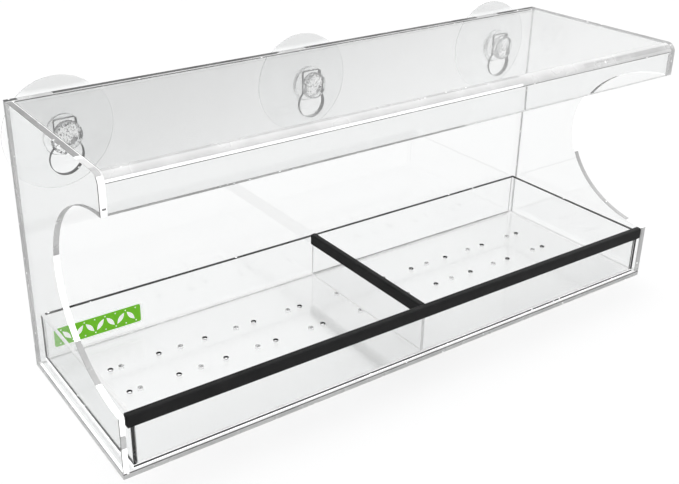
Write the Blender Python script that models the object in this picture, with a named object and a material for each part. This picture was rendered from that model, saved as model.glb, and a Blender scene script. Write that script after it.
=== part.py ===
"""Window bird feeder: a clear acrylic housing that hangs on suction cups, with a
two-compartment seed tray that slides out of its front.

Metres, +Z up, +X to the right. The open front faces -Y and the suction cups face
the window at +Y. The origin is on the surface that the base stands on, at the
middle of the whole feeder's width and depth.
"""
import math

import bmesh
import bpy
from mathutils import Vector

# Housing: acrylic sheets glued edge to face
HOUSING_WIDTH = 0.381
HOUSING_DEPTH = 0.120
HOUSING_HEIGHT = 0.161
SHEET = 0.0032
LIP_HEIGHT = 0.020
BEND_INNER_RADIUS = 0.0023
EDGE_EASE = 0.0003
JOINT_GAP = 0.0003

# Half-elliptical cut-outs in the side panels
CUTOUT_DEPTH = 0.0678
ARM_HEIGHT = 0.0362

# Drain holes, in two rows along the base and the tray floor
BASE_HOLE_RADIUS = 0.0015
BASE_HOLE_PITCH = 0.0381
BASE_HOLE_SIDE_MARGIN = 0.030
BASE_HOLE_BACK_MARGIN = 0.0305
HOLE_ROW_SPACING = 0.0254

# Seed tray: thinner acrylic sheets glued edge to face
TRAY_SHEET = 0.0020
TRAY_HEIGHT = 0.0310
TRAY_SIDE_CLEARANCE = 0.0029
TRAY_BACK_CLEARANCE = 0.0007
TRAY_HOLE_RADIUS = 0.0014
TRAY_HOLE_BACK_MARGIN = 0.0317
# A hole's distance from the left end of its half of the tray, over the half's width
LEFT_HOLE_SHARES = (0.134, 0.299, 0.464, 0.649, 0.834)
RIGHT_HOLE_SHARES = (0.164, 0.329, 0.495, 0.682, 0.866)

# Rubber edge trim, a channel pushed over the tray's front wall and divider
TRIM_FIT = 0.0003
TRIM_WALL = 0.0007
TRIM_CROWN = 0.0013
TRIM_HEIGHT = 0.0070
TRIM_ROUND = 0.0010
TRIM_OVERHANG = 0.0016

# Suction cups, one moulding each: disc, boss, neck and head
CUP_SIDE_INSET = 0.0309
CUP_AXIS_DROP = 0.0262
CUP_RADIUS = 0.03175
CUP_STANDOFF = 0.0100
CUP_HOLLOW = 0.0040
CUP_RIM_LAND = 0.0012
CUP_RIM_THICKNESS = 0.0009
CUP_WALL = 0.0024
BOSS_RADIUS = 0.0105
NECK_RADIUS = 0.0055
HEAD_OVERHANG = 0.0028
HEAD_HEIGHT = 0.0050
HEAD_SKIRT = 0.0018

# Keyholes in the back panel: a round hole that the head enters, and a slot for the neck
NECK_CLEARANCE = 0.0007
HEAD_CLEARANCE = 0.0007
KEYHOLE_DROP = 0.0117
KEYHOLE_RISE = 0.0087
SLOT_CORNER_RADIUS = 0.0012

# One overrun serves all cuts
CUT_OVERRUN = 0.0020

# Facets
BEND_STEPS = 8
CUTOUT_STEPS = 40
HOLE_SIDES = 12
KEYHOLE_STEPS = 28
CORNER_STEPS = 4
CUP_SIDES = 40
CUP_ARC_STEPS = 8

# Worked out from the sizes above
HALF_WIDTH = HOUSING_WIDTH / 2
INNER_DEPTH = HOUSING_DEPTH - SHEET
INNER_HALF_WIDTH = HALF_WIDTH - SHEET
BASE_DEPTH = INNER_DEPTH - JOINT_GAP
ROOF_HALF_WIDTH = INNER_HALF_WIDTH - JOINT_GAP
SIDE_FOOT = SHEET + JOINT_GAP
LIP_BOTTOM = HOUSING_HEIGHT - LIP_HEIGHT
BEND_OUTER_RADIUS = BEND_INNER_RADIUS + SHEET
TRAY_HALF_WIDTH = INNER_HALF_WIDTH - TRAY_SIDE_CLEARANCE
TRAY_FRONT = TRIM_FIT + TRIM_WALL
TRAY_DEPTH = INNER_DEPTH - TRAY_BACK_CLEARANCE - TRAY_FRONT
TRAY_FOOT = SHEET + JOINT_GAP
WALL_FOOT = TRAY_SHEET + JOINT_GAP
HALF_TRAY_SHEET = TRAY_SHEET / 2
TRIM_HALF_WIDTH = HALF_TRAY_SHEET + TRIM_FIT + TRIM_WALL
TRIM_TOP = TRAY_HEIGHT + TRIM_FIT + TRIM_CROWN
CUP_X = HALF_WIDTH - CUP_SIDE_INSET
CUP_Z = HOUSING_HEIGHT - CUP_AXIS_DROP
HEAD_RADIUS = NECK_RADIUS + HEAD_OVERHANG
ENTRY_RADIUS = HEAD_RADIUS + HEAD_CLEARANCE
SLOT_HALF_WIDTH = NECK_RADIUS + NECK_CLEARANCE
OVERALL_DEPTH = HOUSING_DEPTH + CUP_STANDOFF


def clear_scene():
    for old in list(bpy.data.objects):
        bpy.data.objects.remove(old, do_unlink=True)


def plastic(name, colour, roughness, transmission=0.0, ior=1.49):
    material = bpy.data.materials.new(name)
    material.use_nodes = True
    shader = material.node_tree.nodes["Principled BSDF"]
    shader.inputs["Base Color"].default_value = (*colour, 1.0)
    shader.inputs["Roughness"].default_value = roughness
    shader.inputs["Metallic"].default_value = 0.0
    shader.inputs["Transmission Weight"].default_value = transmission
    shader.inputs["IOR"].default_value = ior
    material.diffuse_color = (*colour, 1.0)
    return material


def group_origin(name, location, parent=None):
    """An empty that carries the pieces of one group."""
    empty = bpy.data.objects.new(name, None)
    empty.location = location
    empty.parent = parent
    bpy.context.collection.objects.link(empty)
    return empty


def add_piece(name, bm, material, parent, location=(0, 0, 0)):
    """Turn a bmesh into a named object with outward faces, and free the bmesh."""
    bmesh.ops.recalc_face_normals(bm, faces=bm.faces)
    mesh = bpy.data.meshes.new(name)
    bm.to_mesh(mesh)
    bm.free()
    if material:
        mesh.materials.append(material)
    piece = bpy.data.objects.new(name, mesh)
    piece.parent = parent
    piece.location = location
    bpy.context.collection.objects.link(piece)
    return piece


def cut(piece, name, bm, location=(0, 0, 0)):
    """Cut a piece with a closed shape given in the frame of the piece's parent."""
    cutter = add_piece(name, bm, None, piece.parent, location)
    cutter.hide_render = True
    cutter.display_type = "WIRE"
    modifier = piece.modifiers.new(name, "BOOLEAN")
    modifier.operation = "DIFFERENCE"
    modifier.solver = "EXACT"
    modifier.object = cutter


def ease_edges(piece):
    """The small bevel that polishing leaves along a cut sheet's edges."""
    modifier = piece.modifiers.new("polished_edges", "BEVEL")
    modifier.width = EDGE_EASE
    modifier.segments = 1
    modifier.limit_method = "ANGLE"
    modifier.angle_limit = math.radians(50)


def arc(centre, radii, start, end, steps):
    """Points on an ellipse's arc, from one angle in degrees to the other."""
    points = []
    for step in range(steps + 1):
        angle = math.radians(start + (end - start) * step / steps)
        across = centre[0] + radii[0] * math.cos(angle)
        up = centre[1] + radii[1] * math.sin(angle)
        points.append((across, up))
    return points


def prism(outline, along, low, high):
    """A closed solid: an outline drawn across one axis and extruded along it.

    The outline's two coordinates are the other two axes, in X, Y, Z order.
    """
    bm = bmesh.new()
    corners = []
    for point in outline:
        position = list(point)
        position.insert("XYZ".index(along), low)
        corners.append(bm.verts.new(position))
    face = bm.faces.new(corners)
    extruded = bmesh.ops.extrude_face_region(bm, geom=[face])
    moved = [item for item in extruded["geom"] if isinstance(item, bmesh.types.BMVert)]
    travel = Vector((0, 0, 0))
    travel["XYZ".index(along)] = high - low
    bmesh.ops.translate(bm, verts=moved, vec=travel)
    return bm


def block(low, high):
    outline = [(low[0], low[1]), (high[0], low[1]), (high[0], high[1]), (low[0], high[1])]
    return prism(outline, "Z", low[2], high[2])


def drill(places, radius, bottom, top):
    """Upright round cutters, one at each place."""
    bm = bmesh.new()
    for across, back in places:
        circle = bmesh.ops.create_circle(bm, cap_ends=True, segments=HOLE_SIDES, radius=radius)
        bmesh.ops.translate(bm, verts=circle["verts"], vec=(across, back, bottom))
        face = circle["verts"][0].link_faces[0]
        extruded = bmesh.ops.extrude_face_region(bm, geom=[face])
        moved = [item for item in extruded["geom"] if isinstance(item, bmesh.types.BMVert)]
        bmesh.ops.translate(bm, verts=moved, vec=(0, 0, top - bottom))
    return bm


def base_hole_places():
    reach = HALF_WIDTH - BASE_HOLE_SIDE_MARGIN
    columns_each_side = int(reach / BASE_HOLE_PITCH)
    back_row = INNER_DEPTH - BASE_HOLE_BACK_MARGIN
    places = []
    for row_y in (back_row - HOLE_ROW_SPACING, back_row):
        for column in range(-columns_each_side, columns_each_side + 1):
            places.append((column * BASE_HOLE_PITCH, row_y))
    return places


def base_panel(acrylic, housing):
    """The floor of the housing, with drain holes; the side panels stand on it."""
    low = (-HALF_WIDTH, 0, 0)
    high = (HALF_WIDTH, BASE_DEPTH, SHEET)
    panel = add_piece("base_panel", block(low, high), acrylic, housing)
    holes = drill(base_hole_places(), BASE_HOLE_RADIUS, -CUT_OVERRUN, SHEET + CUT_OVERRUN)
    cut(panel, "base_hole_cutter", holes)
    ease_edges(panel)


def keyhole_outline():
    """The entry hole and the square-topped slot above it, about the cup's axis."""
    opening = math.degrees(math.asin(SLOT_HALF_WIDTH / ENTRY_RADIUS))
    entry = arc((0, -KEYHOLE_DROP), (ENTRY_RADIUS, ENTRY_RADIUS), 90 - opening, opening - 270, KEYHOLE_STEPS)
    corner = (SLOT_CORNER_RADIUS, SLOT_CORNER_RADIUS)
    corner_x = SLOT_HALF_WIDTH - SLOT_CORNER_RADIUS
    corner_z = KEYHOLE_RISE - SLOT_CORNER_RADIUS
    left = arc((-corner_x, corner_z), corner, 180, 90, CORNER_STEPS)
    right = arc((corner_x, corner_z), corner, 90, 0, CORNER_STEPS)
    return entry + left + right


def back_panel(acrylic, housing):
    """The full-size panel against the window, with a keyhole for each cup."""
    low = (-HALF_WIDTH, INNER_DEPTH, 0)
    high = (HALF_WIDTH, HOUSING_DEPTH, HOUSING_HEIGHT)
    panel = add_piece("back_panel", block(low, high), acrylic, housing)
    front = INNER_DEPTH - CUT_OVERRUN
    behind = HOUSING_DEPTH + CUT_OVERRUN
    for side, cup_x in (("left", -CUP_X), ("middle", 0), ("right", CUP_X)):
        keyhole = prism(keyhole_outline(), "Y", front, behind)
        cut(panel, side + "_keyhole_cutter", keyhole, (cup_x, 0, CUP_Z))
    ease_edges(panel)


def side_outline():
    """A side panel seen from the side: C-shaped, with the roof bend's round corner."""
    bend = (BEND_OUTER_RADIUS, BEND_OUTER_RADIUS)
    bend_centre = (BEND_OUTER_RADIUS, HOUSING_HEIGHT - BEND_OUTER_RADIUS)
    half_height = (LIP_BOTTOM - ARM_HEIGHT) / 2
    cutout = (CUTOUT_DEPTH, half_height)
    outline = [(BASE_DEPTH, SIDE_FOOT), (BASE_DEPTH, HOUSING_HEIGHT)]
    outline += arc(bend_centre, bend, 90, 180, BEND_STEPS)
    outline += arc((0, ARM_HEIGHT + half_height), cutout, 90, -90, CUTOUT_STEPS)
    outline.append((0, SIDE_FOOT))
    return outline


def side_panels(acrylic, housing):
    sides = (("left", -HALF_WIDTH, -INNER_HALF_WIDTH), ("right", INNER_HALF_WIDTH, HALF_WIDTH))
    for side, low, high in sides:
        panel = add_piece(side + "_side_panel", prism(side_outline(), "X", low, high), acrylic, housing)
        ease_edges(panel)


def roof_and_lip(acrylic, housing):
    """One sheet, heat-bent along its front into a short hanging lip."""
    outer = (BEND_OUTER_RADIUS, BEND_OUTER_RADIUS)
    inner = (BEND_INNER_RADIUS, BEND_INNER_RADIUS)
    centre = (BEND_OUTER_RADIUS, HOUSING_HEIGHT - BEND_OUTER_RADIUS)
    outline = [(BASE_DEPTH, HOUSING_HEIGHT)]
    outline += arc(centre, outer, 90, 180, BEND_STEPS)
    outline += [(0, LIP_BOTTOM), (SHEET, LIP_BOTTOM)]
    outline += arc(centre, inner, 180, 90, BEND_STEPS)
    outline.append((BASE_DEPTH, HOUSING_HEIGHT - SHEET))
    roof = add_piece("roof_and_lip", prism(outline, "X", -ROOF_HALF_WIDTH, ROOF_HALF_WIDTH), acrylic, housing)
    ease_edges(roof)


def tray_hole_places():
    back_row = TRAY_DEPTH - TRAY_HOLE_BACK_MARGIN
    places = []
    for row_y in (back_row - HOLE_ROW_SPACING, back_row):
        for share in LEFT_HOLE_SHARES:
            places.append(((share - 1) * TRAY_HALF_WIDTH, row_y))
        for share in RIGHT_HOLE_SHARES:
            places.append((share * TRAY_HALF_WIDTH, row_y))
    return places


def tray_floor(acrylic, tray):
    low = (-TRAY_HALF_WIDTH, 0, 0)
    high = (TRAY_HALF_WIDTH, TRAY_DEPTH, TRAY_SHEET)
    floor = add_piece("tray_floor", block(low, high), acrylic, tray)
    holes = drill(tray_hole_places(), TRAY_HOLE_RADIUS, -CUT_OVERRUN, TRAY_SHEET + CUT_OVERRUN)
    cut(floor, "tray_hole_cutter", holes)
    ease_edges(floor)


def tray_wall_boxes():
    """The upright tray walls, as the low and high corner of each."""
    between = TRAY_HALF_WIDTH - TRAY_SHEET - JOINT_GAP
    back_face = TRAY_DEPTH - TRAY_SHEET
    side_face = TRAY_HALF_WIDTH - TRAY_SHEET
    divider_front = TRAY_SHEET + JOINT_GAP
    return {
        "tray_front_wall": ((-between, 0, WALL_FOOT), (between, TRAY_SHEET, TRAY_HEIGHT)),
        "tray_back_wall": ((-between, back_face, WALL_FOOT), (between, TRAY_DEPTH, TRAY_HEIGHT)),
        "tray_left_wall": ((-TRAY_HALF_WIDTH, 0, WALL_FOOT), (-side_face, TRAY_DEPTH, TRAY_HEIGHT)),
        "tray_right_wall": ((side_face, 0, WALL_FOOT), (TRAY_HALF_WIDTH, TRAY_DEPTH, TRAY_HEIGHT)),
        "tray_divider": ((-HALF_TRAY_SHEET, divider_front, WALL_FOOT),
                         (HALF_TRAY_SHEET, back_face - JOINT_GAP, TRAY_HEIGHT)),
    }


def tray_walls(acrylic, tray):
    for name, (low, high) in tray_wall_boxes().items():
        wall = add_piece(name, block(low, high), acrylic, tray)
        ease_edges(wall)


def trim_outline(middle):
    """The trim's outside: upright sides and a crown with round corners."""
    low = middle - TRIM_HALF_WIDTH
    high = middle + TRIM_HALF_WIDTH
    round_z = TRIM_TOP - TRIM_ROUND
    corner = (TRIM_ROUND, TRIM_ROUND)
    outline = [(low, TRIM_TOP - TRIM_HEIGHT)]
    outline += arc((low + TRIM_ROUND, round_z), corner, 180, 90, CORNER_STEPS)
    outline += arc((high - TRIM_ROUND, round_z), corner, 90, 0, CORNER_STEPS)
    outline.append((high, TRIM_TOP - TRIM_HEIGHT))
    return outline


def channel(strip, walls, tray_boxes):
    """Open a strip's channel and notches where the tray's walls stand, with room to fit."""
    for wall in walls:
        low, high = tray_boxes[wall]
        below = -CUT_OVERRUN
        grown_low = (low[0] - TRIM_FIT, low[1] - TRIM_FIT, below)
        grown_high = (high[0] + TRIM_FIT, high[1] + TRIM_FIT, high[2] + TRIM_FIT)
        cut(strip, strip.name + "_over_" + wall, block(grown_low, grown_high))


def front_trim_strip(rubber, tray):
    """The perch along the front: the trim also caps the ends of the walls it crosses."""
    half_length = TRAY_HALF_WIDTH + TRIM_OVERHANG
    outline = trim_outline(HALF_TRAY_SHEET)
    strip = add_piece("front_trim_strip", prism(outline, "X", -half_length, half_length), rubber, tray)
    crossed = ("tray_front_wall", "tray_left_wall", "tray_right_wall", "tray_divider")
    channel(strip, crossed, tray_wall_boxes())


def divider_trim_strip(rubber, tray):
    """Butts the front strip and the tray's back wall."""
    front = HALF_TRAY_SHEET + TRIM_HALF_WIDTH + JOINT_GAP
    back = TRAY_DEPTH - TRAY_SHEET - JOINT_GAP
    strip = add_piece("divider_trim_strip", prism(trim_outline(0), "Y", front, back), rubber, tray)
    channel(strip, ("tray_divider",), tray_wall_boxes())


def cup_profile():
    """Half of a cup's section, as (radius, distance behind the back panel's back face).

    It runs from the head's crown, round the outside to the rim, and into the hollow.
    """
    head_back = -SHEET - JOINT_GAP
    head_front = head_back - HEAD_HEIGHT
    skirt = head_back - HEAD_SKIRT
    profile = [(0, head_front)]
    crown = arc((0, skirt), (HEAD_RADIUS, skirt - head_front), -90, 0, CUP_ARC_STEPS)
    profile += crown[1:]
    profile += [(HEAD_RADIUS, head_back), (NECK_RADIUS, head_back)]
    profile += [(NECK_RADIUS, JOINT_GAP), (BOSS_RADIUS, JOINT_GAP)]
    land_inner = CUP_RADIUS - CUP_RIM_LAND
    for step in range(CUP_ARC_STEPS + 1):
        share = step / CUP_ARC_STEPS
        radius = BOSS_RADIUS + (CUP_RADIUS - BOSS_RADIUS) * share
        wall = CUP_WALL + (CUP_RIM_THICKNESS - CUP_WALL) * share
        bowl = CUP_HOLLOW * (1 - min(radius / land_inner, 1) ** 2)
        profile.append((radius, CUP_STANDOFF - bowl - wall))
    profile.append((CUP_RADIUS, CUP_STANDOFF))
    for step in range(CUP_ARC_STEPS + 1):
        share = 1 - step / CUP_ARC_STEPS
        profile.append((land_inner * share, CUP_STANDOFF - CUP_HOLLOW * (1 - share ** 2)))
    return profile


def suction_cup(side, cup_x, vinyl, housing):
    """The cup's origin is on its own axis, where it slides in the keyhole."""
    bm = bmesh.new()
    chain = []
    for radius, behind in cup_profile():
        chain.append(bm.verts.new((0, behind, radius)))
    edges = []
    for first, second in zip(chain, chain[1:]):
        edges.append(bm.edges.new((first, second)))
    bmesh.ops.spin(
        bm,
        geom=chain + edges,
        axis=(0, 1, 0),
        cent=(0, 0, 0),
        angle=math.tau,
        steps=CUP_SIDES,
        use_merge=True,
    )
    bmesh.ops.remove_doubles(bm, verts=bm.verts, dist=JOINT_GAP / CUP_SIDES)
    cup = add_piece(side + "_suction_cup", bm, vinyl, housing, (cup_x, HOUSING_DEPTH, CUP_Z))
    cup.data.shade_smooth()
    cup.data.set_sharp_from_angle(angle=math.radians(35))


def main():
    clear_scene()
    acrylic = plastic("clear_acrylic", (0.95, 0.97, 0.97), 0.03, transmission=0.9)
    tray_acrylic = plastic("clear_tray_acrylic", (0.93, 0.95, 0.95), 0.05, transmission=0.9)
    rubber = plastic("black_rubber", (0.025, 0.025, 0.027), 0.65, ior=1.52)
    vinyl = plastic("clear_soft_vinyl", (0.90, 0.92, 0.93), 0.18, transmission=0.8, ior=1.53)

    housing = group_origin("housing_frame", (0, -OVERALL_DEPTH / 2, 0))
    base_panel(acrylic, housing)
    back_panel(acrylic, housing)
    side_panels(acrylic, housing)
    roof_and_lip(acrylic, housing)

    tray = group_origin("tray_slide_origin", (0, TRAY_FRONT, TRAY_FOOT), housing)
    tray_floor(tray_acrylic, tray)
    tray_walls(tray_acrylic, tray)
    front_trim_strip(rubber, tray)
    divider_trim_strip(rubber, tray)

    for side, cup_x in (("left", -CUP_X), ("middle", 0), ("right", CUP_X)):
        suction_cup(side, cup_x, vinyl, housing)


main()
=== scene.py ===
import math

import bmesh
import bpy
from mathutils import Matrix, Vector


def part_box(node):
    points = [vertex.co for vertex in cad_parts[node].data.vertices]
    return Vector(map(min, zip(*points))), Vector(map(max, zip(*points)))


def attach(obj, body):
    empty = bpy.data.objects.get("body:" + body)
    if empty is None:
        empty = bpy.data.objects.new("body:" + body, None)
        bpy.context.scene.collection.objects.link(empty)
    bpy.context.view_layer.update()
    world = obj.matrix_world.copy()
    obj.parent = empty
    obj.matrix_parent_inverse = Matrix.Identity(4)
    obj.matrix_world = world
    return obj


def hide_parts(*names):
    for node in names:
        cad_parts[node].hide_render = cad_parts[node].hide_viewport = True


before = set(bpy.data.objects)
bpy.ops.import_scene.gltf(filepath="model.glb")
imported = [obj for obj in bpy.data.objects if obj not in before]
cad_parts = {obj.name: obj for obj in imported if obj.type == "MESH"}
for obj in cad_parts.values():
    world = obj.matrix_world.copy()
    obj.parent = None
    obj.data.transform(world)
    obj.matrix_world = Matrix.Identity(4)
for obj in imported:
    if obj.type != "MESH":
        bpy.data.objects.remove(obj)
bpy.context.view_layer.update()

bl_info = {
    "name": "Window Bird Feeder",
    "version": (1, 0, 0),
    "blender": (4, 5, 0),
    "location": "3D View > Sidebar > Feeder",
    "description": "Dresses the packed window bird feeder in clear acrylic, vinyl and rubber",
    "category": "Object",
}

# What the record's parts measure, in metres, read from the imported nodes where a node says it
BASE_LOW, BASE_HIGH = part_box("base_panel")
BACK_LOW, BACK_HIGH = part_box("back_panel")
SIDE_LOW, SIDE_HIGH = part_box("left_side_panel")
ROOF_LOW, ROOF_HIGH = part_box("roof_and_lip")
FLOOR_LOW, FLOOR_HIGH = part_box("tray_floor")
REAR_LOW, REAR_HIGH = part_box("tray_back_wall")
BEAD_LOW, BEAD_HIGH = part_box("divider_trim_strip")
CUP_LOW, CUP_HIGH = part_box("middle_suction_cup")

CUP_SIDES = ("left", "middle", "right")


def rounded(centre, radii, start, end, steps):
    """Points on an arc, from start to end in degrees, elliptical where its radii are a pair."""
    across, up = radii if isinstance(radii, tuple) else (radii, radii)
    points = []
    for step in range(steps + 1):
        angle = math.radians(start + (end - start) * step / steps)
        points.append((centre[0] + across * math.cos(angle), centre[1] + up * math.sin(angle)))
    return points


def circle(centre, radius, sides):
    """A drilled hole's outline."""
    return rounded(centre, radius, 0, 360, sides)[:-1]


def rectangle(low, high):
    """A sheet's plain outline."""
    return [(low[0], low[1]), (high[0], low[1]), (high[0], high[1]), (low[0], high[1])]


def placed(point, axis, depth):
    """A point of a flat outline, stood at a depth along the sheet's thickness."""
    index = "XYZ".index(axis)
    return (*point[:index], depth, *point[index:])


def sawn_sheet(outlines, axis, low, high):
    """A closed sheet from its outline and the outlines of its holes, low to high along its thickness."""
    bm = bmesh.new()
    for outline in outlines:
        corners = [bm.verts.new(placed(point, axis, low)) for point in outline]
        for first, second in zip(corners, corners[1:] + corners[:1]):
            bm.edges.new((first, second))
    bmesh.ops.triangle_fill(bm, use_beauty=True, use_dissolve=False, edges=bm.edges[:])
    pushed = bmesh.ops.extrude_face_region(bm, geom=bm.faces[:])
    moved = [v for v in pushed["geom"] if isinstance(v, bmesh.types.BMVert)]
    bmesh.ops.translate(bm, verts=moved, vec=placed((0, 0), axis, high - low))
    bmesh.ops.recalc_face_normals(bm, faces=bm.faces[:])
    return bm


def ease(bm, width, segments=2, sharper_than=50):
    """Take the sharpness off a sheet's edges, as a scraper does."""
    sharp = [e for e in bm.edges if e.calc_face_angle(0) > math.radians(sharper_than)]
    bmesh.ops.bevel(
        bm, geom=sharp, offset=width, offset_type="OFFSET", segments=segments, profile=0.5,
        affect="EDGES", material=-1, clamp_overlap=False,
    )


def join_into(bm, other):
    """Move another bmesh's shape into this one."""
    mesh = bpy.data.meshes.new("joining")
    other.to_mesh(mesh)
    other.free()
    bm.from_mesh(mesh)
    bpy.data.meshes.remove(mesh)


def new_object(name, bm, materials):
    """An object of a bmesh's shape and some materials, in the scene."""
    mesh = bpy.data.meshes.new(name)
    bm.to_mesh(mesh)
    bm.free()
    for material in materials:
        mesh.materials.append(material)
    made = bpy.data.objects.new(name, mesh)
    bpy.context.scene.collection.objects.link(made)
    return made


def finished(name, bm, materials, body, replaced=(), smooth=True):
    """The object of a finished piece: it rides on its body and stands for its CAD node."""
    bmesh.ops.recalc_face_normals(bm, faces=bm.faces[:])
    piece = new_object(name, bm, materials)
    if smooth:
        piece.data.shade_smooth()
        weighted = piece.modifiers.new("even_normals", "WEIGHTED_NORMAL")
        weighted.keep_sharp = False
    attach(piece, body)
    if replaced:
        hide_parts(*replaced)
    return piece


# Shader helpers

WHITE, BLACK = (1, 1, 1), (0, 0, 0)


def new_group(name, inputs, outputs):
    """An empty node group with its sockets, and its two end nodes."""
    group = bpy.data.node_groups.new(name, "ShaderNodeTree")
    for label, kind, value in inputs:
        socket = group.interface.new_socket(name=label, in_out="INPUT", socket_type="NodeSocket" + kind)
        if value is not None:
            socket.default_value = value
    for label, kind in outputs:
        group.interface.new_socket(name=label, in_out="OUTPUT", socket_type="NodeSocket" + kind)
    return group, group.nodes.new("NodeGroupInput"), group.nodes.new("NodeGroupOutput")


def give(tree, sockets, values):
    """Link each named socket to an output, or set it to a plain number or colour."""
    for label, value in values.items():
        if isinstance(value, bpy.types.NodeSocket):
            tree.links.new(value, sockets[label])
        elif sockets[label].type == "RGBA":
            sockets[label].default_value = (*value, 1)
        else:
            sockets[label].default_value = value


def math_node(tree, operation, first, second, clamp=False):
    """A Math node whose inputs are links or plain numbers."""
    node = tree.nodes.new("ShaderNodeMath")
    node.operation = operation
    node.use_clamp = clamp
    give(tree, node.inputs, {0: first, 1: second})
    return node.outputs[0]


def range_node(tree, value, low, high, to_low=0.0, to_high=1.0, smooth=True):
    """A Map Range node, eased at both ends."""
    node = tree.nodes.new("ShaderNodeMapRange")
    node.interpolation_type = "SMOOTHSTEP" if smooth else "LINEAR"
    limits = {"From Min": low, "From Max": high, "To Min": to_low, "To Max": to_high}
    give(tree, node.inputs, {"Value": value, **limits})
    return node.outputs["Result"]


def mix_colour(tree, factor, first, second):
    """A colour between two others, each a link or a plain colour."""
    node = tree.nodes.new("ShaderNodeMix")
    node.data_type = "RGBA"
    give(tree, node.inputs, {"Factor": factor, "A": first, "B": second})
    return node.outputs["Result"]


def noise_node(tree, vector, scale, detail=2.0, roughness=0.5):
    """A 3-D noise in the units of its vector."""
    node = tree.nodes.new("ShaderNodeTexNoise")
    give(tree, node.inputs, {"Vector": vector, "Scale": scale, "Detail": detail, "Roughness": roughness})
    return node.outputs["Fac"]


def bump_node(tree, height, strength, distance):
    """The normal of a surface raised by a height."""
    node = tree.nodes.new("ShaderNodeBump")
    give(tree, node.inputs, {"Height": height, "Strength": strength, "Distance": distance})
    return node.outputs["Normal"]


def object_coordinates(tree):
    """Each point's place in the part's own frame, in metres."""
    return tree.nodes.new("ShaderNodeTexCoord").outputs["Object"]


def add_marks(tree, group, **values):
    """A shared effect over a whole piece, with a material's own values."""
    node = tree.nodes.new("ShaderNodeGroup")
    node.node_tree = group
    give(tree, node.inputs, {"Vector": object_coordinates(tree), **values})
    return node.outputs


def wipe_marks_group():
    """Fine wiping scratches in patches: a roughness and a height."""
    group, given, result = new_group(
        "wipe_marks",
        (("Vector", "Vector", None), ("Polish", "Float", 0.010)),
        (("Roughness", "Float"), ("Height", "Float")),
    )
    vector = given.outputs["Vector"]
    lines = None
    for turn in (0.35, -0.8):
        mapping = group.nodes.new("ShaderNodeMapping")
        along = {"Rotation": (turn, turn * 1.7, turn * 2.3), "Scale": (22, 900, 900)}
        give(group, mapping.inputs, {"Vector": vector, **along})
        streak = noise_node(group, mapping.outputs["Vector"], 1.0, 0.0)
        thin = range_node(group, streak, 0.72, 0.78)
        lines = thin if lines is None else math_node(group, "MAXIMUM", lines, thin)
    waves = noise_node(group, vector, 16.0, 0.0)
    patches = range_node(group, waves, 0.4, 0.6, 0.0, 0.06)
    rough = math_node(group, "ADD", given.outputs["Polish"], math_node(group, "MULTIPLY", lines, patches))
    height = math_node(group, "SUBTRACT", waves, math_node(group, "MULTIPLY", lines, 0.02))
    give(group, result.inputs, {"Roughness": rough, "Height": height})
    return group


def saw_marks_group():
    """The fine ridges that a saw and a scraper leave along a cut edge, its tone patches and glue bubbles,
    and a painted glow that stands in for light the edge catches.
    """
    group, given, result = new_group(
        "saw_marks",
        (
            ("Vector", "Vector", None),
            ("Light", "Color", None),
            ("Dark", "Color", None),
            ("Glow", "Float", 0.0),
            ("Bubbles", "Float", 1.0),
        ),
        (("Color", "Color"), ("Roughness", "Float"), ("Height", "Float"), ("Painted_glow_colour", "Color")),
    )
    vector = given.outputs["Vector"]
    ridges = noise_node(group, vector, 900.0)
    patches = noise_node(group, vector, 55.0, 3.0)
    blend = range_node(group, patches, 0.35, 0.65)
    rough = range_node(group, blend, 0.0, 1.0, 0.2, 0.5, False)
    cells = group.nodes.new("ShaderNodeTexVoronoi")
    give(group, cells.inputs, {"Vector": vector, "Scale": 200})
    spots = range_node(group, cells.outputs["Distance"], 0.10, 0.16, 1.0, 0.0)
    chance = group.nodes.new("ShaderNodeSeparateColor")
    group.links.new(cells.outputs["Color"], chance.inputs["Color"])
    wanted = math_node(group, "MULTIPLY", given.outputs["Bubbles"], spots)
    chosen = math_node(group, "GREATER_THAN", chance.outputs["Red"], 0.3)
    bubbles = math_node(group, "MULTIPLY", wanted, chosen)
    plain = mix_colour(group, blend, given.outputs["Light"], given.outputs["Dark"])
    glued = mix_colour(group, bubbles, plain, WHITE)
    # The Glow amount and the bubbles light the edge with a painted glow: emission from no lamp
    shine = math_node(group, "MULTIPLY", bubbles, 0.4)
    lit = math_node(group, "ADD", given.outputs["Glow"], shine, True)
    painted_glow_colour = mix_colour(group, lit, BLACK, glued)
    results = {"Color": glued, "Roughness": rough, "Height": ridges, "Painted_glow_colour": painted_glow_colour}
    give(group, result.inputs, results)
    return group


def lamps_pass(tree, shader):
    """Clear plastic throws hardly a shadow: lamps and the floor's own light go through it."""
    path = tree.nodes.new("ShaderNodeLightPath")
    clear = tree.nodes.new("ShaderNodeBsdfTransparent")
    for kind in ("Is Diffuse Ray", "Is Shadow Ray"):
        mix = tree.nodes.new("ShaderNodeMixShader")
        tree.links.new(path.outputs[kind], mix.inputs["Fac"])
        tree.links.new(shader, mix.inputs[1])
        tree.links.new(clear.outputs["BSDF"], mix.inputs[2])
        shader = mix.outputs["Shader"]
    tree.links.new(shader, tree.nodes["Material Output"].inputs["Surface"])


def plastic_base(name, colour, ior, transmission):
    """A material with its Principled shader set to a clear or solid plastic."""
    material = bpy.data.materials.new(name)
    material.use_nodes = True
    tree = material.node_tree
    shader = tree.nodes["Principled BSDF"]
    give(tree, shader.inputs, {"Base Color": colour, "IOR": ior, "Transmission Weight": transmission})
    return material, tree, shader


def clear_sheet(name, colour, group, polish=0.010, ior=1.49):
    """Polished acrylic: nearly clear, faintly wavy, with wiping scratches."""
    material, tree, shader = plastic_base(name, colour, ior, 1.0)
    marks = add_marks(tree, group, Polish=polish)
    raised = bump_node(tree, marks["Height"], 0.02, 0.001)
    give(tree, shader.inputs, {"Roughness": marks["Roughness"], "Normal": raised})
    lamps_pass(tree, shader.outputs["BSDF"])
    return material


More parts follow.
